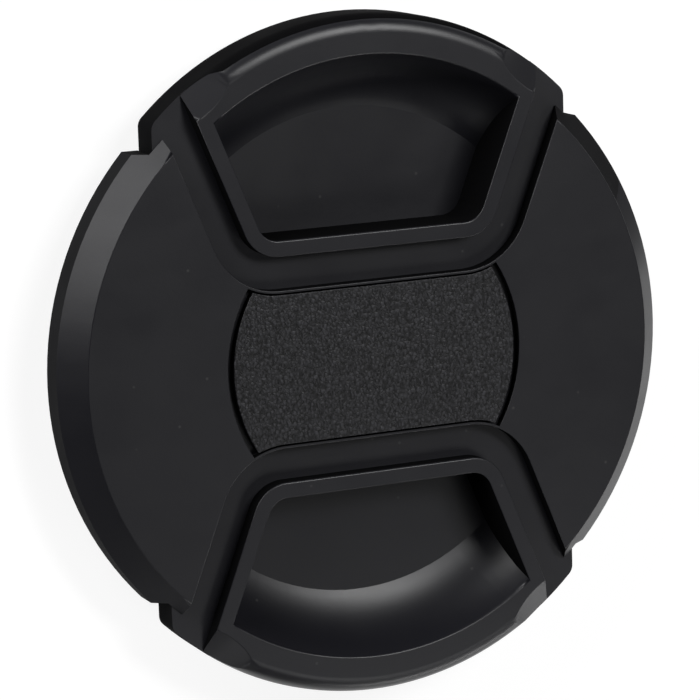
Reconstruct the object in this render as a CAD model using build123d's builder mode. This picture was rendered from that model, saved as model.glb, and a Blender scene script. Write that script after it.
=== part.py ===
from build123d import *
from math import cos, radians, sin, sqrt, tan
import os

# Sizes in millimetres. X runs across the cap, Y towards the upper grip, Z out of the front face.
# Z = 0 is the back of the collar, the plane the cap lies on.

# Running fits
slide_fit = 0.15     # flat sliding faces of slider, guide and plate
run_gap = 0.3        # moving faces that never touch

# Rim and lens thread
thread_d = 67.0      # thread of the lens the cap snaps into
rim_over = 1.5       # rim outside the thread, on the radius
rim_h = 5.5          # front face to the back edge of the rim
rim_wall = 1.5
chamfer_w = 2.5      # slanted front edge, across
chamfer_h = 2.6      # slanted front edge, down the side
collar_fit = 1.0     # collar inside the thread, on the radius
collar_wall = 1.4
collar_end = 3.7     # collar arcs short of the ends of the rim

# Finger pocket and the flat band round it
pocket_y = 13.72     # inner edge of the pocket from the middle of the cap
pocket_half = 12.45  # half width of the pocket at that edge
pocket_lean = 21.7   # sides lean outwards, degrees
pocket_r = 2.4       # inner corners
pocket_depth = 6.0
lip_w = 1.65         # wall round the pocket
lip_rise = 0.2       # wall above the front face
band_w = 3.65        # sunk band between the wall and the front plate
band_drop = 1.6      # band below the front face
stop_gap = 0.65      # left of the band when the grip is fully pressed

# Slider
deck_t = 1.4
floor_t = 1.0
skirt_t = 1.5
lug_in = 11.2        # sides of the slider inside the rim
lug_r = 1.4
lug_shelf = 2.95     # lug's corner beyond the end of the rim
deck_r = 1.5
grip_proud = 1.65    # grip beyond the rim at rest
grip_ease = 1.6      # rim radius less the radius of the grip's outer wall
bar_w = 4.2          # grip bar across its top
bar_round = 2.0
bar_flats = 4        # flats that make the rounding
ramp_run = 6.0       # foot of the ramp to the bar
ramp_angle = 20.0    # slope of the ramp at its foot, degrees
web_run = 1.8        # floor beyond the foot of the ramp
web_rise = 1.3

# Hollows at the ends of the grip bar
scallop_w = 2.75     # from the outer wall, along the pocket's wall
scallop_half = 3.2   # half its length along the bar
scallop_r = 17.0
scallop_fall = 31.0  # degrees below level
scallop_turn = 42.0  # degrees from X, in plan

# Catch that snaps into the lens thread
catch_fit = 0.5      # catch inside the thread, on the radius
catch_wall = 1.4
catch_half = 24.0    # half its arc, degrees
catch_rise = 0.3     # above the plane the cap lies on

# Guides, cross rib and springs
guide_wall = 1.4
rib_t = 1.6
stop_in = 3.4        # stop blocks from the slider's sides
stop_y = 9.0
stop_w = 1.6
stop_l = 2.4
spring_d = 3.4
wire_d = 0.5
spring_turns = 3.5
peg_d = 1.8
peg_l = 2.2

# Back cover and the pins that hold it
cover_rise = 0.85    # above the plane the cap lies on
cover_t = 1.2
cover_fit = 0.3
boss_y = 5.0
boss_w = 3.6
boss_l = 4.0
pin_d = 2.2
pin_fit = 0.1

# Plate let into the bridge
insert_r = 16.32
insert_t = 0.85
insert_groove = 0.7  # at the round sides
insert_gap = 0.2     # along the pockets
bridge_edge = 0.25   # bridge left between the plate and the pockets' openings

over = 1.0           # cutting bodies beyond the face they cut

# Levels, from the back to the front
cover_top = cover_rise + cover_t
floor_under = cover_top + slide_fit
floor_z = floor_under + floor_t
lip_z = floor_z + pocket_depth
cap_h = lip_z - lip_rise
band_z = cap_h - band_drop
deck_under = band_z - deck_t
plate_under = band_z + slide_fit
shoulder_z = cap_h - rim_h
spring_z = (cover_top + deck_under) / 2

# Radii and plan positions that follow from the sizes
rim_d = thread_d + 2 * rim_over
rim_r = rim_d / 2
face_r = rim_r - chamfer_w
collar_r = thread_d / 2 - collar_fit
catch_r = thread_d / 2 - catch_fit
catch_in = catch_r - catch_wall
grip_r = rim_r - grip_ease
grip_y = rim_r + grip_proud - grip_r
bar_in = grip_r - bar_w
foot_r = bar_in - ramp_run
slot_grow = lip_w + band_w
travel = band_w - stop_gap
deck_y = rib_t / 2 + travel + run_gap
lug_half = rim_r - lug_in
guide_half = lug_half + slide_fit
rim_end = grip_y + sqrt(grip_r**2 - lug_half**2) - lug_shelf
collar_half = rim_end - collar_end
lean = tan(radians(pocket_lean))
boss_x = (guide_half + guide_wall + collar_r - collar_wall) / 2
boss_spots = [(boss_x, boss_y), (-boss_x, boss_y), (-boss_x, -boss_y), (boss_x, -boss_y)]
stop_x = lug_half - stop_in
stop_spots = [(stop_x, stop_y), (-stop_x, stop_y), (-stop_x, -stop_y), (stop_x, -stop_y)]
coil_l = pocket_y - lip_w - rib_t / 2 - run_gap - wire_d

grip_plane = Plane.XZ.offset(-grip_y)
grip_axis = Axis((0, grip_y, 0), (0, 0, 1))


def keystone(grow):
    # Plan of the finger pocket, wider towards the rim, grown on every side
    low = pocket_y - grow
    half = pocket_half + grow * (1 / cos(radians(pocket_lean)) - lean)
    wide = half + (rim_d - low) * lean
    with BuildSketch(mode=Mode.PRIVATE) as plan:
        with BuildLine():
            Polyline((-half, low), (half, low), (wide, rim_d), (-wide, rim_d), close=True)
        make_face()
        fillet(plan.vertices().sort_by(Axis.Y)[:2], pocket_r + grow)
    return plan.sketch


def slider_plan(inset, start):
    # Straight sides between the guides, closed by the arc of the grip's outer wall
    with BuildSketch(mode=Mode.PRIVATE) as plan:
        with Locations((0, start + rim_d / 2)):
            Rectangle(2 * (lug_half - inset), rim_d)
        with Locations((0, grip_y)):
            Circle(grip_r - inset, mode=Mode.INTERSECT)
    return plan.sketch


# Front plate, slanted edge, rim, collar and guides are one moulding
with BuildPart() as front_body:
    with BuildSketch(Plane.XZ):
        with BuildLine():
            Polyline(
                (0, plate_under),
                (rim_r - rim_wall, plate_under),
                (rim_r - rim_wall, shoulder_z),
                (rim_r, shoulder_z),
                (rim_r, cap_h - chamfer_h),
                (face_r, cap_h),
                (0, cap_h),
                close=True,
            )
        make_face()
    revolve(axis=Axis.Z)

    # Two collar arcs centre the cap in the thread
    with BuildSketch(Plane.XY):
        Circle(collar_r)
        Circle(collar_r - collar_wall, mode=Mode.SUBTRACT)
        Rectangle(rim_d, 2 * collar_half, mode=Mode.INTERSECT)
    extrude(amount=plate_under)

    # Way of the sliders under the plate, open above and below the ends of the rim
    with BuildSketch(Plane.XY):
        Rectangle(2 * guide_half, 2 * rim_d)
        with Locations((0, rim_end + rim_r), (0, -rim_end - rim_r)):
            Rectangle(2 * rim_d, 2 * rim_r)
    extrude(amount=plate_under, mode=Mode.SUBTRACT)

    # Guide walls, behind the rim's back edge only inside the collar, with the rib, bosses and stop blocks
    with BuildSketch(Plane.XY.offset(shoulder_z)):
        Rectangle(2 * (guide_half + guide_wall), 2 * rim_end)
        Rectangle(2 * guide_half, 2 * rim_end, mode=Mode.SUBTRACT)
        Circle(rim_r - rim_wall, mode=Mode.INTERSECT)
    extrude(amount=plate_under - shoulder_z)
    with BuildSketch(Plane.XY.offset(cover_top)):
        Rectangle(2 * (guide_half + guide_wall), 2 * collar_half)
        Rectangle(2 * guide_half, 2 * collar_half, mode=Mode.SUBTRACT)
        Circle(collar_r, mode=Mode.INTERSECT)
        Rectangle(2 * guide_half, rib_t)
        with Locations(*boss_spots):
            Rectangle(boss_w, boss_l)
        with Locations(*stop_spots):
            Rectangle(stop_w, stop_l)
    extrude(amount=plate_under - cover_top)

    # Pins that hold the back cover
    with BuildSketch(Plane.XY.offset(cover_rise)):
        with Locations(*boss_spots):
            Circle(pin_d / 2)
    extrude(amount=cover_t)

    # Spring peg on each face of the cross rib
    with BuildSketch(Plane.XZ):
        with Locations((0, spring_z)):
            Circle(peg_d / 2)
    extrude(amount=rib_t / 2 + peg_l, both=True)

    # Openings of the finger pockets
    with BuildSketch(Plane.XY.offset(plate_under)):
        add(keystone(slot_grow))
        mirror(about=Plane.XZ)
    extrude(amount=band_drop, mode=Mode.SUBTRACT)

    # Recess of the plate in the bridge
    with BuildSketch(Plane.XY.offset(cap_h)):
        Circle(insert_r + insert_groove)
        add(keystone(slot_grow + bridge_edge), mode=Mode.SUBTRACT)
        add(keystone(slot_grow + bridge_edge), rotation=180, mode=Mode.SUBTRACT)
    extrude(amount=-insert_t, mode=Mode.SUBTRACT)

with BuildPart() as centre_plate:
    with BuildSketch(Plane.XY.offset(cap_h - insert_t)):
        Circle(insert_r)
        add(keystone(slot_grow + bridge_edge + insert_gap), mode=Mode.SUBTRACT)
        add(keystone(slot_grow + bridge_edge + insert_gap), rotation=180, mode=Mode.SUBTRACT)
    extrude(amount=insert_t)

# Room for the fingers: straight sides, flat floor, hollow ramp up to the grip bar
with BuildPart() as finger_room:
    with BuildSketch(Plane.XY.offset(floor_z)):
        add(keystone(0))
    extrude(amount=pocket_depth + over)
    with BuildSketch(grip_plane):
        with BuildLine():
            Line((0, floor_z), (foot_r, floor_z))
            TangentArc(
                (foot_r, floor_z),
                (bar_in, lip_z),
                tangent=(cos(radians(ramp_angle)), sin(radians(ramp_angle))),
            )
            Polyline((bar_in, lip_z), (bar_in, lip_z + over), (0, lip_z + over), (0, floor_z))
        make_face()
    revolve(axis=grip_axis, mode=Mode.INTERSECT)

# Tub and grip bar: the section is turned about the axis of the outer wall
bar_steps = [radians(90 * step / bar_flats) for step in range(bar_flats + 1)]
bar_edge = [
    (grip_r - bar_round * (1 - cos(step)), lip_z - bar_round * (1 - sin(step))) for step in bar_steps
]
with BuildPart() as grip:
    with BuildSketch(Plane.XY.offset(floor_under)):
        add(keystone(lip_w))
    extrude(amount=lip_z - floor_under)
    with BuildSketch(grip_plane):
        with BuildLine():
            Polyline(
                (0, lip_z),
                (0, floor_under),
                (foot_r + web_run, floor_under),
                (catch_in - grip_y, shoulder_z + web_rise),
                (catch_in - grip_y, shoulder_z),
                (catch_r - grip_y, shoulder_z),
                (catch_r - grip_y, deck_under),
                (grip_r - skirt_t, deck_under),
                (grip_r - skirt_t, shoulder_z),
                (grip_r, shoulder_z),
                *bar_edge,
                close=True,
            )
        make_face()
    revolve(axis=grip_axis, mode=Mode.INTERSECT)
    add(finger_room.part, mode=Mode.SUBTRACT)

# Hollow at the end of the grip bar: a round cut that falls outwards to the band
side_x = pocket_half + (grip_y - pocket_y) * lean + lip_w / cos(radians(pocket_lean))
start_r = grip_r - scallop_w
start_y = (sqrt(start_r**2 * (1 + lean**2) - side_x**2) - lean * side_x) / (1 + lean**2)
fall_cos = cos(radians(scallop_fall))
fall_sin = sin(radians(scallop_fall))
turn_cos = cos(radians(scallop_turn))
turn_sin = sin(radians(scallop_turn))
scallop_sag = (scallop_r - sqrt(scallop_r**2 - scallop_half**2)) / fall_sin
scallop_mid = Vector(
    side_x + lean * start_y - turn_sin * scallop_half - turn_cos * scallop_sag,
    grip_y + start_y + turn_cos * scallop_half - turn_sin * scallop_sag,
    lip_z,
)
scallop_up = Vector(fall_sin * turn_cos, fall_sin * turn_sin, fall_cos)
scallop_way = Vector(fall_cos * turn_cos, fall_cos * turn_sin, -fall_sin)
with BuildPart() as scallop:
    with Locations(Plane(scallop_mid + scallop_up * scallop_r, z_dir=scallop_way)):
        Cylinder(scallop_r, rim_d)
    split(bisect_by=Plane.XY.offset(band_z), keep=Keep.TOP)

with BuildPart() as upper_slider:
    # Deck under the front plate, its lugs rounded at the grip, with a window for each stop block
    with BuildSketch(Plane.XY.offset(deck_under)) as deck:
        add(slider_plan(0, deck_y))
        fillet(deck.vertices().sort_by(Axis.Y)[:2], deck_r)
        fillet(deck.vertices().sort_by(Axis.Y)[-2:], lug_r)
        add(keystone(lip_w / 2), mode=Mode.SUBTRACT)
        with Locations((stop_x, stop_y + travel / 2), (-stop_x, stop_y + travel / 2)):
            Rectangle(
                stop_w + 2 * run_gap,
                stop_l + travel + 2 * run_gap,
                mode=Mode.SUBTRACT,
            )
    extrude(amount=deck_t)

    # Runners along the guides and skirt behind the grip
    with BuildSketch(Plane.XY.offset(shoulder_z)) as skirt:
        add(slider_plan(0, deck_y + deck_r))
        fillet(skirt.vertices().sort_by(Axis.Y)[-2:], lug_r)
        add(slider_plan(skirt_t, 0), mode=Mode.SUBTRACT)
    extrude(amount=deck_under - shoulder_z)

    add(grip.part)
    add(finger_room.part, mode=Mode.SUBTRACT)
    add(scallop.part, mode=Mode.SUBTRACT)
    mirror(scallop.part, about=Plane.YZ, mode=Mode.SUBTRACT)

    # Catch concentric with the thread
    catch_dir = (sin(radians(catch_half)), cos(radians(catch_half)), 0)
    catch_side = (cos(radians(catch_half)), -sin(radians(catch_half)), 0)
    with BuildSketch(Plane((0, 0, 0), x_dir=catch_dir, z_dir=catch_side)):
        with Locations(((catch_in + catch_r) / 2, (catch_rise + shoulder_z + web_rise) / 2)):
            Rectangle(catch_wall, shoulder_z + web_rise - catch_rise)
    revolve(axis=Axis.Z, revolution_arc=2 * catch_half)

    # Spring peg on the pocket's wall
    with BuildSketch(Plane.XZ.offset(lip_w / 2 - pocket_y)):
        with Locations((0, spring_z)):
            Circle(peg_d / 2)
    extrude(amount=lip_w / 2 + peg_l)

# The lower slider is the same moulding turned half round
with BuildPart() as lower_slider:
    add(upper_slider.part, rotation=(0, 0, 180))

# Compression spring between the cross rib and the pocket's wall
with BuildPart() as upper_spring:
    with BuildLine():
        turns = Helix(
            pitch=coil_l / spring_turns,
            height=coil_l,
            radius=(spring_d - wire_d) / 2,
            center=(0, (rib_t + wire_d) / 2, spring_z),
            direction=(0, 1, 0),
        )
    with BuildSketch(Plane(turns @ 0, z_dir=turns % 0)):
        RegularPolygon(wire_d / 2, 4)
    sweep(is_frenet=True)

with BuildPart() as lower_spring:
    add(upper_spring.part, rotation=(0, 0, 180))

with BuildPart() as back_cover:
    with BuildSketch(Plane.XY.offset(cover_rise)):
        Circle(collar_r - collar_wall - cover_fit)
        with Locations((0, -travel)):
            Circle(catch_in - run_gap, mode=Mode.INTERSECT)
        with Locations((0, travel)):
            Circle(catch_in - run_gap, mode=Mode.INTERSECT)
        with Locations(*boss_spots):
            Circle(pin_d / 2 + pin_fit, mode=Mode.SUBTRACT)
    extrude(amount=cover_t)

os.makedirs("parts", exist_ok=True)

front_body.part.label = "front_body"
export_step(front_body.part, "parts/front_body.step")
centre_plate.part.label = "centre_plate"
export_step(centre_plate.part, "parts/centre_plate.step")
upper_slider.part.label = "upper_slider"
export_step(upper_slider.part, "parts/upper_slider.step")
lower_slider.part.label = "lower_slider"
export_step(lower_slider.part, "parts/lower_slider.step")
upper_spring.part.label = "upper_spring"
export_step(upper_spring.part, "parts/upper_spring.step")
lower_spring.part.label = "lower_spring"
export_step(lower_spring.part, "parts/lower_spring.step")
back_cover.part.label = "back_cover"
export_step(back_cover.part, "parts/back_cover.step")
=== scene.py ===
import bmesh
import bpy
import numpy as np
from math import atan2, cos, hypot, radians, sin
from mathutils import Matrix, Vector


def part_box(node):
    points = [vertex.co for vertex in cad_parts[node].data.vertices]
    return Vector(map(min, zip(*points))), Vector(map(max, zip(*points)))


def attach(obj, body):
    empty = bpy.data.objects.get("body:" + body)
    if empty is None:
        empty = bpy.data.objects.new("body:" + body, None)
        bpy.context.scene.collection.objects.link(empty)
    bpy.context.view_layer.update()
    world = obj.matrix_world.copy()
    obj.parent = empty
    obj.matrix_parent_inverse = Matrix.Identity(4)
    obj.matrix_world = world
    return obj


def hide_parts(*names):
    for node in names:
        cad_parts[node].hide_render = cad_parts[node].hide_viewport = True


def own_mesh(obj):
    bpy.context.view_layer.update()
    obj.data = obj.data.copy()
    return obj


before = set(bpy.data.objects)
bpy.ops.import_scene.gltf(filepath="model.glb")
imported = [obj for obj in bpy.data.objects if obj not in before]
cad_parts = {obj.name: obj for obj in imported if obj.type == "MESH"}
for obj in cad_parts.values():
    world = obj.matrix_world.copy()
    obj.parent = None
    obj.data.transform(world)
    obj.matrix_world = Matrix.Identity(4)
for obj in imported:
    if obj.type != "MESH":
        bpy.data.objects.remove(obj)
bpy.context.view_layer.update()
scene = bpy.context.scene
scene.view_settings.view_transform = "Standard"
mm = 0.001
print("frame loaded:", ", ".join(sorted(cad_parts)))


# camera: stands in front of the cap's face, to its left and a little above
photoCamera = {
    "yaw": 24.122,          # degrees to the left of the face's normal
    "pitch": 11.022,        # degrees above it
    "roll": -1.833,
    "distance": 362.58,     # mm from the middle of the face
    "aimRight": -2.821,     # mm, aim point beside the middle of the face
    "aimUp": 0.959,
    "focalPixels": 3417.6,  # for a frame 700 pixels wide
    "framePixels": 700,
    "sensorWidth": 36.0,
    "clipStart": 0.01,      # m
}


def placeCamera(c):
    yaw, pitch, roll = (radians(c[k]) for k in ("yaw", "pitch", "roll"))
    back = Vector((-sin(yaw) * cos(pitch), sin(pitch), cos(yaw) * cos(pitch)))
    level = Vector((cos(yaw), 0, sin(yaw)))
    upright = back.cross(level)
    right = cos(roll) * level + sin(roll) * upright
    up = cos(roll) * upright - sin(roll) * level
    faceMiddle = Vector((0, 0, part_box("front_body")[1][2]))
    spot = faceMiddle + mm * (c["aimRight"] * right + c["aimUp"] * up + c["distance"] * back)
    data = bpy.data.cameras.new("photoCamera")
    data.sensor_width = c["sensorWidth"]
    data.lens = c["focalPixels"] / c["framePixels"] * c["sensorWidth"]
    data.clip_start = c["clipStart"]
    cam = bpy.data.objects.new("photoCamera", data)
    turn = Matrix((right, up, back)).transposed().to_4x4()
    cam.matrix_world = Matrix.Translation(spot) @ turn
    scene.collection.objects.link(cam)
    scene.camera = cam


placeCamera(photoCamera)
print("camera placed")


# nodes: a number or a colour is set on its socket, and an output of another node is linked to it
def feed(tree, socket, value):
    if isinstance(value, (int, float)):
        socket.default_value = value
    elif isinstance(value, tuple):
        socket.default_value = (*value, 1)
    else:
        tree.links.new(value, socket)


def objectCoords(tree):
    return tree.nodes.new("ShaderNodeTexCoord").outputs["Object"]


def mathNode(tree, operation, a, b):
    node = tree.nodes.new("ShaderNodeMath")
    node.operation = operation
    feed(tree, node.inputs[0], a)
    feed(tree, node.inputs[1], b)
    return node.outputs[0]


def vectorNode(tree, operation, *values):
    node = tree.nodes.new("ShaderNodeVectorMath")
    node.operation = operation
    for socket, value in zip(node.inputs, values):
        if isinstance(value, tuple):
            socket.default_value = value
        else:
            tree.links.new(value, socket)
    return node.outputs["Value" if operation == "DOT_PRODUCT" else "Vector"]


def rampNode(tree, value, fromLow, fromHigh, toLow=0.0, toHigh=1.0):
    node = tree.nodes.new("ShaderNodeMapRange")
    node.interpolation_type = "SMOOTHSTEP"
    ends = {"From Min": fromLow, "From Max": fromHigh, "To Min": toLow, "To Max": toHigh}
    for label, number in ends.items():
        node.inputs[label].default_value = number
    tree.links.new(value, node.inputs["Value"])
    return node.outputs[0]


def noiseNode(tree, coords, scale, detail, rough):
    node = tree.nodes.new("ShaderNodeTexNoise")
    tree.links.new(coords, node.inputs["Vector"])
    feed(tree, node.inputs["Scale"], scale)
    node.inputs["Detail"].default_value = detail
    node.inputs["Roughness"].default_value = rough
    return node.outputs["Fac"]


def stretchNode(tree, coords, scale, turn=0.0):
    node = tree.nodes.new("ShaderNodeMapping")
    node.inputs["Rotation"].default_value = (0, 0, turn)
    node.inputs["Scale"].default_value = scale
    tree.links.new(coords, node.inputs["Vector"])
    return node.outputs["Vector"]


def blendNode(tree, kind, mask, low, high):
    node = tree.nodes.new("ShaderNodeMix")
    node.data_type = kind
    first, result = {"FLOAT": (2, 0), "RGBA": (6, 2)}[kind]  # each kind has sockets of its own
    for index, value in ((0, mask), (first, low), (first + 1, high)):
        feed(tree, node.inputs[index], value)
    return node.outputs[result]


def bumpNode(tree, height, depth, strength):
    node = tree.nodes.new("ShaderNodeBump")
    node.inputs["Distance"].default_value = depth * mm
    node.inputs["Strength"].default_value = strength
    tree.links.new(height, node.inputs["Height"])
    return node.outputs["Normal"]


def groupNode(tree, group):
    node = tree.nodes.new("ShaderNodeGroup")
    node.node_tree = group
    return node


# shared effects, as node groups that give values only
def effectGroup(name, inputs, outputs):
    group = bpy.data.node_groups.new(name, "ShaderNodeTree")
    for label, value in inputs:
        socket = group.interface.new_socket(label, in_out="INPUT", socket_type="NodeSocketFloat")
        socket.default_value = value
    for label in outputs:
        group.interface.new_socket(label, in_out="OUTPUT", socket_type="NodeSocketFloat")
    start = group.nodes.new("NodeGroupInput")
    end = group.nodes.new("NodeGroupOutput")
    return group, start.outputs, end.inputs


# spark-eroded mould skin: fine noise in two sizes, with broad patches where the flow left it smoother
mouldSkin = {
    "grain": 5000.0,            # per m, where a material gives none of its own
    "fineNoise": (2.0, 0.6),    # detail and roughness of the noise
    "coarse": 0.35,             # grain of the larger noise, as a share of the fine one's
    "coarseNoise": (2.0, 0.5),
    "coarseHeight": 0.8,
    "patches": 110.0,           # per m
    "patchNoise": (3.0, 0.55),
}


def makeMouldGrain(s):
    group, given, wanted = effectGroup("mouldGrain", [("Grain per m", s["grain"])], ["Height", "Patches"])
    coords = objectCoords(group)
    grain = given["Grain per m"]
    fine = noiseNode(group, coords, grain, *s["fineNoise"])
    coarse = noiseNode(group, coords, mathNode(group, "MULTIPLY", grain, s["coarse"]), *s["coarseNoise"])
    lift = mathNode(group, "MULTIPLY", coarse, s["coarseHeight"])
    group.links.new(mathNode(group, "ADD", fine, lift), wanted["Height"])
    group.links.new(noiseNode(group, coords, s["patches"], *s["patchNoise"]), wanted["Patches"])
    return group


# soft marks of fingers: smears that lie mostly along one way, and a few specks of dust
fingerMarks = {
    "smears": 60.0,             # per m
    "smearTurn": 0.5,           # radians
    "smearStretch": (1.0, 2.6, 1.0),
    "smearNoise": (4.0, 0.6),
    "smearRange": (0.42, 0.68),
    "specks": 620.0,            # cells per m, of which few hold a speck
    "speckEdge": (0.05, 0.14),  # from the cell's middle, where a speck fades
    "speckChance": 0.90,        # a cell whose own number is lower stays clean
}


def makeHandling(s):
    inputs = [("Smear per m", s["smears"]), ("Specks per m", s["specks"])]
    group, given, wanted = effectGroup("handling", inputs, ["Smear", "Specks"])
    coords = objectCoords(group)
    stretched = stretchNode(group, coords, s["smearStretch"], s["smearTurn"])
    smear = noiseNode(group, stretched, given["Smear per m"], *s["smearNoise"])
    group.links.new(rampNode(group, smear, *s["smearRange"]), wanted["Smear"])
    specks = group.nodes.new("ShaderNodeTexVoronoi")
    group.links.new(coords, specks.inputs["Vector"])
    group.links.new(given["Specks per m"], specks.inputs["Scale"])
    near = rampNode(group, specks.outputs["Distance"], *s["speckEdge"], 1.0, 0.0)
    chance = group.nodes.new("ShaderNodeSeparateColor")
    group.links.new(specks.outputs["Color"], chance.inputs[0])
    few = mathNode(group, "GREATER_THAN", chance.outputs[0], s["speckChance"])
    group.links.new(mathNode(group, "MULTIPLY", near, few), wanted["Specks"])
    return group


mouldGrain, handling = makeMouldGrain(mouldSkin), makeHandling(fingerMarks)


def newMaterial(name):
    mat = bpy.data.materials.new(name)
    mat.use_nodes = True
    return mat, mat.node_tree, mat.node_tree.nodes["Principled BSDF"].inputs


# moulded black plastic: satin on the faces, dull on the walls of the tool's cuts and round the rim; the
# walls' copy is darker as painted shade, the rim's lighter as painted light
facePlastic = {
    "colour": (0.0064, 0.0064, 0.0086),
    "dusty": (0.045, 0.045, 0.045),
    "dustShare": 0.6,           # of that colour in a speck
    "rough": (0.385, 0.410),    # smoother and rougher patches
    "patchRange": (0.35, 0.65),
    "smearPolish": 0.02,        # taken off the roughness by a smear
    "gloss": 0.42,
    "grain": 4200.0,            # per m
    "depth": 0.012,             # mm
    "bump": 0.5,
}
gripPlastic = dict(
    facePlastic, colour=(0.0074, 0.0074, 0.0098), rough=(0.365, 0.390), grain=5200.0, depth=0.009
)
coverPlastic = dict(facePlastic, rough=(0.42, 0.52), grain=3400.0, depth=0.014)
# walls of the tool's cuts: dull, and darker than the faces as painted shade
shadedWallPlastic = dict(
    facePlastic, colour=(0.0025, 0.0025, 0.0028), dusty=(0.006, 0.006, 0.006), rough=(0.82, 0.90), gloss=0.03
)
# round the rim: dull, and lighter than the faces as painted light
litRimPlastic = dict(
    facePlastic, colour=(0.0095, 0.0095, 0.0103), dusty=(0.020, 0.020, 0.020), rough=(0.80, 0.88), gloss=0.06
)
slantPlastic = dict(
    facePlastic,
    gloss=0.265,
    mattRough=0.95,
    mattToward=45.0,            # degrees round from +X, the side where it turns matt
    mattRange=(0.79, 0.97),     # cosine from that side, where it begins to and where it is fully matt
)


def mattSide(tree, s):
    # the slanted edge is satin all round but toward the upper right, where the photo shows it matt and dark
    toward = radians(s["mattToward"])
    way = vectorNode(tree, "NORMALIZE", vectorNode(tree, "MULTIPLY", objectCoords(tree), (1, 1, 0)))
    nearness = vectorNode(tree, "DOT_PRODUCT", way, (cos(toward), sin(toward), 0))
    return rampNode(tree, nearness, *s["mattRange"])


def makePlastic(name, s):
    mat, tree, shader = newMaterial(name)
    grain = groupNode(tree, mouldGrain)
    grain.inputs["Grain per m"].default_value = s["grain"]
    marks = groupNode(tree, handling).outputs
    dust = mathNode(tree, "MULTIPLY", marks["Specks"], s["dustShare"])
    tree.links.new(blendNode(tree, "RGBA", dust, s["colour"], s["dusty"]), shader["Base Color"])
    patches = rampNode(tree, grain.outputs["Patches"], *s["patchRange"], *s["rough"])
    polish = mathNode(tree, "MULTIPLY", marks["Smear"], s["smearPolish"])
    rough = mathNode(tree, "SUBTRACT", patches, polish)
    if "mattRough" in s:
        rough = blendNode(tree, "FLOAT", mattSide(tree, s), rough, s["mattRough"])
    tree.links.new(rough, shader["Roughness"])
    shader["Specular IOR Level"].default_value = s["gloss"]
    tree.links.new(bumpNode(tree, grain.outputs["Height"], s["depth"], s["bump"]), shader["Normal"])
    return mat


shellBlack = makePlastic("shellBlack", facePlastic)
gripBlack = makePlastic("gripBlack", gripPlastic)
coverBlack = makePlastic("coverBlack", coverPlastic)
shadedWallBlack = makePlastic("shadedWallBlack", shadedWallPlastic)
litRimBlack = makePlastic("litRimBlack", litRimPlastic)
slantBlack = makePlastic("slantBlack", slantPlastic)


# leather grain of the centre plate: pebbles between creases, broken up by finer wrinkles; its colour is
# painted shade, near black in the creases and lighter where the grain stands up
leather = {
    "colour": (0.0255, 0.0255, 0.0300),
    "crease": (0.0002, 0.0002, 0.0006),
    "rough": (0.56, 0.39),      # on the pebbles and in the creases
    "pebbles": 2500.0,          # per m
    "pebbleEdge": 0.40,         # of a pebble, from its crease to its flat
    "stray": 0.6,               # grain of the straying, as a share of the pebbles'
    "wander": 0.26,             # mm, how far the creases stray
    "wrinkleNoise": (2.0, 0.55),
    "pebbleHeight": 0.5,
    "wrinkleHeight": 1.6,
    "pebbleShadeShare": 0.3,          # share of the pebbles beside the wrinkles in what is painted lighter as standing up
    "reliefShadeRange": (0.36, 1.04),
    "depth": 0.060,             # mm
    "bump": 0.6,
    "gloss": 0.37,
}


def makeLeather(name, s):
    mat, tree, shader = newMaterial(name)
    coords = objectCoords(tree)
    stray = tree.nodes.new("ShaderNodeTexNoise")
    tree.links.new(coords, stray.inputs["Vector"])
    stray.inputs["Scale"].default_value = s["pebbles"] * s["stray"]
    shift = vectorNode(tree, "MULTIPLY_ADD", stray.outputs["Color"], (s["wander"] * mm,) * 3, coords)
    cells = tree.nodes.new("ShaderNodeTexVoronoi")
    cells.feature = "DISTANCE_TO_EDGE"
    tree.links.new(shift, cells.inputs["Vector"])
    cells.inputs["Scale"].default_value = s["pebbles"]
    pebble = rampNode(tree, cells.outputs["Distance"], 0.0, s["pebbleEdge"])
    wrinkle = noiseNode(tree, shift, s["pebbles"], *s["wrinkleNoise"])
    raised = mathNode(tree, "MULTIPLY", pebble, s["pebbleHeight"])
    height = mathNode(tree, "ADD", raised, mathNode(tree, "MULTIPLY", wrinkle, s["wrinkleHeight"]))
    # colour follows the relief: painted shade in the creases, lighter on the raised grain
    reliefForShade = mathNode(tree, "ADD", mathNode(tree, "MULTIPLY", pebble, s["pebbleShadeShare"]), wrinkle)
    reliefLit = rampNode(tree, reliefForShade, *s["reliefShadeRange"])
    onPebble, inCrease = s["rough"]
    tree.links.new(blendNode(tree, "RGBA", reliefLit, s["crease"], s["colour"]), shader["Base Color"])
    tree.links.new(blendNode(tree, "FLOAT", reliefLit, inCrease, onPebble), shader["Roughness"])
    shader["Specular IOR Level"].default_value = s["gloss"]
    tree.links.new(bumpNode(tree, height, s["depth"], s["bump"]), shader["Normal"])
    return mat


plateLeather = makeLeather("plateLeather", leather)


# drawn spring wire: fine lines along the wire, from the piece's own UV
springWire = {
    "colour": (0.56, 0.55, 0.53),
    "rough": (0.22, 0.42),
    "lines": (6.0, 900.0, 1.0),
    "lineNoise": (2.0, 0.5),
    "lineRange": (0.3, 0.7),
    "depth": 0.004,             # mm
    "bump": 0.4,
}


def makeWire(name, s):
    mat, tree, shader = newMaterial(name)
    drawn = stretchNode(tree, tree.nodes.new("ShaderNodeTexCoord").outputs["UV"], s["lines"])
    lines = noiseNode(tree, drawn, 1.0, *s["lineNoise"])
    shader["Base Color"].default_value = (*s["colour"], 1)
    shader["Metallic"].default_value = 1.0
    tree.links.new(rampNode(tree, lines, *s["lineRange"], *s["rough"]), shader["Roughness"])
    tree.links.new(bumpNode(tree, lines, s["depth"], s["bump"]), shader["Normal"])
    return mat


wireSteel = makeWire("wireSteel", springWire)
print("materials made")


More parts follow.
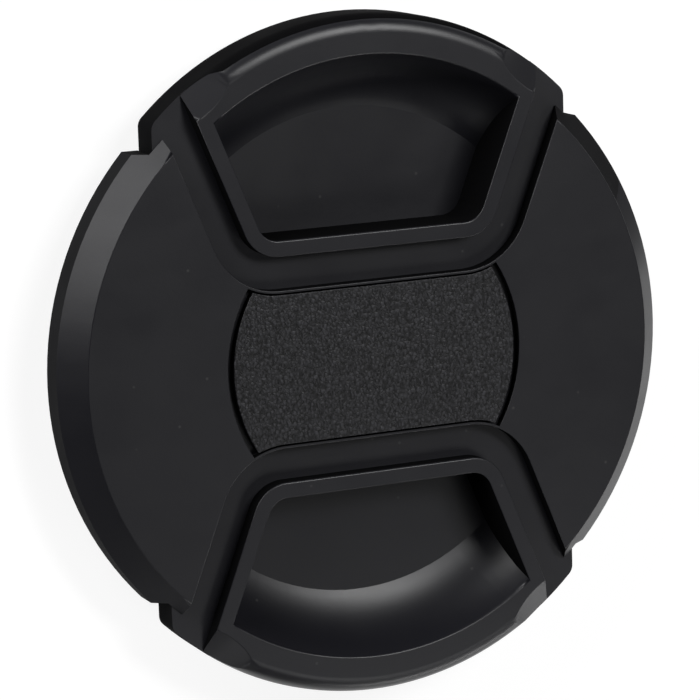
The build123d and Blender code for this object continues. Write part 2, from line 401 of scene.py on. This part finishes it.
# moulded pieces: the CAD node's own triangles, merged, flats joined, outer edges eased
moulding = {
    "weld": 1e-6,           # m
    "flat": 0.4,            # degrees, triangles closer than this become one face
    "sharp": 26.0,          # degrees, edges beyond this stay crisp or are eased
    "crease": 8.0,          # the same at the foot of the ramp
    "floorZ": 3.2,          # mm, floor of the pockets, where that foot is
    "floorBand": 0.02,      # mm above and below it
    "segments": 3,
    "evenWeight": 90,       # how far large faces rule the shading
    "topBand": 0.1,         # mm, edges this little below a top belong to it
    "wall": 0.35,           # steeper than this, by the normal's Z, is a wall
}


def mouldedPiece(nodeName, pieceName, body, slotName, skins, skinOf, radius, eased):
    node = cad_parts[nodeName]
    bm = bmesh.new()
    bm.from_mesh(node.data)
    bmesh.ops.remove_doubles(bm, verts=bm.verts, dist=moulding["weld"])
    flat = radians(moulding["flat"])
    bmesh.ops.dissolve_limit(bm, angle_limit=flat, verts=bm.verts, edges=bm.edges)
    weight = bm.edges.layers.float.new("bevel_weight_edge")
    sharp, crease = radians(moulding["sharp"]), radians(moulding["crease"])
    for face in bm.faces:
        face.smooth = True
        face.material_index = skinOf(face.calc_center_median() / mm, face.normal)
    for edge in bm.edges:
        turn = edge.calc_face_angle_signed(0)
        middle = (edge.verts[0].co + edge.verts[1].co) / 2 / mm
        onFloor = abs(middle.z - moulding["floorZ"]) < moulding["floorBand"]
        edge.smooth = abs(turn) < (crease if onFloor else sharp)
        if turn > sharp:
            edge[weight] = eased(middle)
            edge.smooth = edge[weight] > 0
    mesh = bpy.data.meshes.new(pieceName)
    bm.to_mesh(mesh)
    bm.free()
    for mat in skins:
        mesh.materials.append(mat)
    piece = bpy.data.objects.new(pieceName, mesh)
    scene.collection.objects.link(piece)
    bevel = piece.modifiers.new("easedEdges", "BEVEL")
    bevel.limit_method = "WEIGHT"
    bevel.width = radius * mm
    bevel.segments = moulding["segments"]
    bevel.use_clamp_overlap = False
    bevel.harden_normals = True
    bevel.material = 0
    bevel.miter_outer = "MITER_ARC"
    even = piece.modifiers.new("evenShade", "WEIGHTED_NORMAL")
    even.weight = moulding["evenWeight"]
    even.keep_sharp = True
    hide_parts(nodeName)
    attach(piece, body)
    print(pieceName, len(mesh.polygons), "faces before easing")


# the two finger grips, sizes in mm
grip = {
    "lipZ": 9.2,            # top of the lip and the bar
    "lipEnd": 26.6,         # along Y, where the lip's sides meet the bar
    "lipMiddle": 0.6,       # beyond the pocket, between the lip's two edges
    "cornerX": 10.82,       # middle of the pocket's inner corner
    "cornerY": 16.12,
    "cornerR": 2.4,
    "lean": 21.7,           # degrees, sides of the pocket
    "axisY": 3.25,          # axis of the grip's outer wall
    "outerR": 33.4,
    "barInner": 29.5,       # from that axis, just outside the bar's inner edge
    "roundDepth": 1.9,      # the bar's outer rounding, in from the wall and up from this height
    "roundZ": 7.2,
    "roundWall": (0.72, 0.12),  # what counts as a wall on the rounding, upper and lower grip; on the upper one this paints shade below the highlight
    "ease": 0.18,
    "lipEase": (1.0, 0.35, 0.4),  # shares of it: edge that faces +Y, edge that faces -Y, both on the sides
    "barEase": 1.0,
    "hollowEase": 0.5,
}


def pocketReach(p):
    # how far a point lies outside the pocket's outline, whose corner is an arc between two straight runs
    along, up = abs(p.x) - grip["cornerX"], abs(p.y) - grip["cornerY"]
    if along <= 0:
        return -up - grip["cornerR"]
    leanSin, leanCos = sin(radians(grip["lean"])), cos(radians(grip["lean"]))
    if along * leanSin + up * leanCos > 0:
        return along * leanCos - up * leanSin - grip["cornerR"]
    return hypot(along, up) - grip["cornerR"]


def gripEdge(p):
    # the lip's two edges, the bar's inner edge and the hollows' rims; beside the bridge the lip's edge
    # that faces +Y is rounder than the other, as the photo shows it, and both get crisper round the corners
    if p.z < grip["lipZ"] - moulding["topBand"]:
        return 0.0
    if abs(p.y) < grip["lipEnd"]:
        facesUp, facesDown, onSide = grip["lipEase"]
        start = facesUp if (p.y > 0) == (pocketReach(p) < grip["lipMiddle"]) else facesDown
        corner = atan2(max(abs(p.x) - grip["cornerX"], 0.0), grip["cornerY"] - abs(p.y))
        return start + (onSide - start) * min(corner / radians(90 - grip["lean"]), 1.0)
    out = hypot(p.x, abs(p.y) - grip["axisY"])
    return grip["barEase"] if out < grip["barInner"] else grip["hollowEase"]


def gripSkin(p, n):
    # steep faces take the walls' dull skin, darker as painted shade; the upper bar's rounding takes it too
    # below its highlight, and the lower bar's stays satin
    out = hypot(p.x, abs(p.y) - grip["axisY"])
    limit = moulding["wall"]
    if out > grip["outerR"] - grip["roundDepth"] and p.z > grip["roundZ"]:
        limit = grip["roundWall"][0 if p.y > 0 else 1]
    return 1 if abs(n.z) < limit else 0


# the front body, sizes in mm
shell = {
    "faceZ": 9.0,           # front face
    "faceR": 32.6,
    "slant": (0.5, 0.9),    # normal's Z on the slanted edge
    "dullFrom": 0.95,       # cosine from the slanted edge's matt side, beyond which it is as dull as the rim
    "rimR": 35.0,
    "rimBand": 0.5,
    "recess": 5.43,         # beyond the pocket, between the slot's edge and the plate's recess
    "recessR": 17.2,        # just outside the recess's round sides, and just inside them
    "recessInR": 16.9,
    "ease": 0.16,
    "faceEase": 0.5,        # shares of it
    "recessEase": 0.35,
}


def shellEdge(p):
    # the face's rim and slots; of the plate's recess only the round sides
    if p.z <= shell["faceZ"] - moulding["topBand"]:
        return 0.0
    radius = hypot(p.x, p.y)
    if radius < shell["recessR"] and pocketReach(p) > shell["recess"]:
        return shell["recessEase"] if radius > shell["recessInR"] else 0.0
    return shell["faceEase"]


def shellSkin(p, n):
    # face, walls, rim and slanted edge, the walls' skin darker as painted shade and the rim's lighter as
    # painted light; toward its matt side the slanted edge has the rim's skin
    radius = hypot(p.x, p.y)
    if abs(n.z) < moulding["wall"]:
        return 2 if radius > shell["rimR"] - shell["rimBand"] else 1
    if radius > shell["faceR"] and shell["slant"][0] < n.z < shell["slant"][1]:
        toward = radians(slantPlastic["mattToward"])
        return 2 if p.x * cos(toward) + p.y * sin(toward) > shell["dullFrom"] * radius else 3
    return 0


# the centre plate and the back cover, sizes in mm
plate = {"ease": 0.08, "topBand": 0.05}
cover = {"ease": 0.12}


def plateEdge(p):
    return 1.0 if p.z > shell["faceZ"] - plate["topBand"] else 0.0


def coverEdge(p):
    return 1.0


# steep faces take the walls' skin, darker as painted shade
def plainSkin(p, n):
    return 1 if abs(n.z) < moulding["wall"] else 0


shellLook = ((shellBlack, shadedWallBlack, litRimBlack, slantBlack), shellSkin, shell["ease"], shellEdge)
gripLook = ((gripBlack, shadedWallBlack), gripSkin, grip["ease"], gripEdge)
plateLook = ((plateLeather, shadedWallBlack), plainSkin, plate["ease"], plateEdge)
coverLook = ((coverBlack, shadedWallBlack), plainSkin, cover["ease"], coverEdge)
mouldedPiece("front_body", "frontShell", "cap", "body_plastic", *shellLook)
mouldedPiece("upper_slider", "upperGrip", "upper_grip", "slider_plastic", *gripLook)
mouldedPiece("lower_slider", "lowerGrip", "lower_grip", "slider_plastic", *gripLook)
mouldedPiece("centre_plate", "plateInsert", "cap", "plate_grain", *plateLook)
mouldedPiece("back_cover", "backDisc", "cap", "cover_plastic", *coverLook)


# new pieces: points on a grid of rows along a path and columns round a profile, the columns closed
def gridPiece(name, patches, body, mat):
    points, faces, spread, base = [], [], [], 0
    corners = ((0, 0), (0, 1), (1, 1), (1, 0))
    for patch in patches:
        rows, cols = patch.shape[:2]
        row, col = np.meshgrid(np.arange(rows - 1), np.arange(cols), indexing="ij")
        quads = np.stack([base + (row + i) * cols + (col + j) % cols for i, j in corners], axis=-1)
        uv = [np.stack([(row + i) / (rows - 1), (col + j) / cols], axis=-1) for i, j in corners]
        ends = [np.arange(cols)[::-1] + base, np.arange(cols) + base + (rows - 1) * cols]
        points.append(patch.reshape(-1, 3) * mm)
        faces += quads.reshape(-1, 4).tolist() + [end.tolist() for end in ends]
        spread += [np.stack(uv, axis=-2).reshape(-1, 2), np.zeros((2 * cols, 2))]
        base += rows * cols
    mesh = bpy.data.meshes.new(name)
    mesh.from_pydata(np.concatenate(points).tolist(), [], faces)
    layer = mesh.uv_layers.new(name="along")
    layer.data.foreach_set("uv", np.concatenate(spread).ravel())
    bm = bmesh.new()
    bm.from_mesh(mesh)
    bmesh.ops.remove_doubles(bm, verts=bm.verts, dist=moulding["weld"])
    bmesh.ops.recalc_face_normals(bm, faces=bm.faces)
    for face in bm.faces:
        face.smooth = len(face.verts) <= 4
    bm.to_mesh(mesh)
    bm.free()
    mesh.materials.append(mat)
    piece = bpy.data.objects.new(name, mesh)
    scene.collection.objects.link(piece)
    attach(piece, body)
    print(name, len(mesh.polygons), "faces")
    return piece


# compression springs between the cross rib and the grips
spring = {
    "turns": 9.0,
    "closed": 1.0,          # turns at each end that lie together
    "closedRate": 0.42,     # climb of those turns, as a share of the others'
    "blend": 19,            # points over which one climb goes over into the other
    "wire": 0.5,            # mm
    "perTurn": 36,
    "round": 10,
    "travel": 3.0,          # mm, the grip's stroke
}


def makeSpring(name, nodeName, s):
    # the wire's middle line goes round the axis at a fixed radius while it climbs, slowly over the closed
    # turns and evenly between; the wire is a circle across that line, in its radial and its third direction
    low, high = (np.array(v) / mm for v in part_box(nodeName))
    middle = (low + high) / 2
    coil = (high[2] - low[2] - s["wire"]) / 2
    t = np.linspace(0, s["turns"], int(s["turns"] * s["perTurn"]) + 1)
    fromEnd = np.minimum(t, s["turns"] - t)
    rate = np.where(fromEnd < s["closed"], s["closedRate"], 1.0)
    padded = np.pad(rate, s["blend"] // 2, mode="edge")
    rate = np.convolve(padded, np.ones(s["blend"]) / s["blend"], mode="valid")
    climb = np.concatenate([[0], np.cumsum((rate[1:] + rate[:-1]) / 2)])
    reach = high[1] - low[1] - s["wire"]
    y = low[1] + s["wire"] / 2 + reach * climb / climb[-1]
    angle = 2 * np.pi * t
    line = np.stack([middle[0] + coil * np.cos(angle), y, middle[2] + coil * np.sin(angle)], axis=-1)
    way = np.gradient(line, axis=0)
    way /= np.linalg.norm(way, axis=1, keepdims=True)
    outward = np.stack([np.cos(angle), np.zeros_like(angle), np.sin(angle)], axis=-1)
    third = np.cross(way, outward)
    v = np.linspace(0, 2 * np.pi, s["round"], endpoint=False)[None, :, None]
    tube = line[:, None] + s["wire"] / 2 * (np.cos(v) * outward[:, None] + np.sin(v) * third[:, None])
    tube[..., 1] = np.clip(tube[..., 1], low[1], high[1])
    piece = gridPiece(name, [tube], "cap", wireSteel)
    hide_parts(nodeName)
    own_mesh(piece)


makeSpring("upperSpring", "upper_spring", spring)
makeSpring("lowerSpring", "lower_spring", spring)


# thread ridges on the two catches
thread = {
    "pitch": 0.75,          # mm
    "ridges": 4,
    "firstZ": 0.72,
    "root": 32.92,          # just inside the catch's wall
    "crest": 33.36,
    "foot": 0.30,           # half the ridge's foot and half its crest
    "top": 0.06,
    "shoulder": (0.04, 0.9),  # the crest's rounding: mm beside it, and share of the height there
    "half": 23.2,           # degrees each side of the middle
    "fade": 3.0,            # degrees over which the ends run out
    "least": 0.02,          # of that run-out, so that the ends keep a section
    "steps": 73,
}


def makeThread(name, body, turn, s):
    # each ridge is a flat-topped section carried round the lens axis; it climbs by one pitch per turn,
    # and its height grows from nothing to full as the sine of the way in from either end
    a = np.radians(np.linspace(-s["half"], s["half"], s["steps"]))
    inset = np.radians(s["half"]) - np.abs(a)
    full = np.sin(np.pi / 2 * np.clip(inset / np.radians(s["fade"]), s["least"], 1))[:, None]
    high = s["crest"] - s["root"]
    beside, share = s["shoulder"]
    reach = s["root"] + full * np.array([0.0, high * share, high, high, high * share, 0.0])
    across = np.array([-s["foot"], -s["top"] - beside, -s["top"], s["top"], s["top"] + beside, s["foot"]])
    patches = []
    for ridge in range(s["ridges"]):
        z = s["firstZ"] + s["pitch"] * (ridge + a / (2 * np.pi))[:, None] + across
        spin = a[:, None] + np.radians(90 + turn)
        patches.append(np.stack([reach * np.cos(spin), reach * np.sin(spin), z], axis=-1))
    gridPiece(name, patches, body, gripBlack)


makeThread("upperThread", "upper_grip", 0, thread)
makeThread("lowerThread", "lower_grip", 180, thread)


# heads of the four pins that hold the back cover, sizes in mm
pinHead = {
    "spots": ((28.225, 5.0), (-28.225, 5.0), (-28.225, -5.0), (28.225, -5.0)),
    "radius": 1.7,
    "rise": 0.42,
    "dimple": 0.1,          # deep, and this wide
    "dimpleR": 0.5,
    "sink": 0.05,           # into the cover, and this much narrower there
    "sinkIn": 0.1,
    "rings": 14,
    "round": 36,
}


def makePinHeads(name, s):
    # a low dome turned about the pin's axis: its height falls as the root of one less the square of the
    # radius, with a shallow dimple in the middle where the tool pressed
    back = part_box("back_cover")[0][2] / mm
    out = np.sin(np.linspace(0, np.pi / 2, s["rings"])) * s["radius"]
    dimple = s["dimple"] * np.exp(-((out / s["dimpleR"]) ** 2))
    dome = s["rise"] * np.sqrt(1 - (out / s["radius"]) ** 2) - dimple
    radius = np.append(out, [s["radius"] - s["sinkIn"], 0.0])[:, None]
    z = np.append(back - dome, [back + s["sink"]] * 2)[:, None]
    v = np.linspace(0, 2 * np.pi, s["round"], endpoint=False)[None, :]
    head = np.stack([radius * np.cos(v), radius * np.sin(v), z + 0 * v], axis=-1)
    heads = [head + np.array([x, y, 0]) for x, y in s["spots"]]
    gridPiece(name, heads, "cap", shellBlack)


makePinHeads("pinHeads", pinHead)


# floor and light
studio = {
    "floorSize": 1.6,       # m
    "floorZ": -0.00005,     # a hair under the cap's back, so that no two faces share a plane
    "floorColour": (0.20, 0.20, 0.20),
    "floorRough": 0.9,
    "floorGlow": 0.86,      # seen by the camera and in reflections
    "worldGrey": 0.01,
    "reach": 0.7,           # m, lamps from the cap
    "lamps": {
        "key": {"toward": (0.351, 0.429, 0.833), "size": (0.331, 0.194), "power": 3.18},
        "left": {"toward": (-0.757, 0.609, 0.238), "size": (0.680, 0.418), "power": 5.8},
        "right": {"toward": (0.611, -0.767, 0.194), "size": (0.548, 0.112), "power": 1.38},
        "fill": {"toward": (0.389, -0.524, 0.758), "size": (0.257, 0.199), "power": 0.52},
        "front": {"toward": (-0.290, -0.807, 0.514), "size": (0.238, 0.176), "power": 0.27},
    },
}


def makeFloor(s):
    half, z = s["floorSize"] / 2, s["floorZ"]
    corners = [(-half, -half, z), (half, -half, z), (half, half, z), (-half, half, z)]
    mesh = bpy.data.meshes.new("floor")
    mesh.from_pydata(corners, [], [(0, 1, 2, 3)])
    mat, tree, shader = newMaterial("whiteFloor")
    shader["Base Color"].default_value = (*s["floorColour"], 1)
    shader["Roughness"].default_value = s["floorRough"]
    shader["Specular IOR Level"].default_value = 0.0
    rays = tree.nodes.new("ShaderNodeLightPath").outputs
    seen = mathNode(tree, "MAXIMUM", rays["Is Camera Ray"], rays["Is Glossy Ray"])
    seen = mathNode(tree, "MAXIMUM", seen, rays["Is Transmission Ray"])
    shader["Emission Color"].default_value = (1, 1, 1, 1)
    tree.links.new(mathNode(tree, "MULTIPLY", seen, s["floorGlow"]), shader["Emission Strength"])
    mesh.materials.append(mat)
    floor = bpy.data.objects.new("floor", mesh)
    scene.collection.objects.link(floor)


def areaLamp(name, s, reach):
    data = bpy.data.lights.new(name, "AREA")
    data.shape = "RECTANGLE"
    data.size, data.size_y = s["size"]
    data.energy = s["power"]
    lamp = bpy.data.objects.new(name, data)
    way = Vector(s["toward"]).normalized()
    lamp.matrix_world = Matrix.Translation(way * reach) @ way.to_track_quat("Z", "Y").to_matrix().to_4x4()
    scene.collection.objects.link(lamp)


makeFloor(studio)
world = bpy.data.worlds.new("studio")
world.use_nodes = True
world.node_tree.nodes["Background"].inputs["Color"].default_value = (*[studio["worldGrey"]] * 3, 1)
scene.world = world
for lampName, lamp in studio["lamps"].items():
    areaLamp(lampName, lamp, studio["reach"])
print("stage lit")
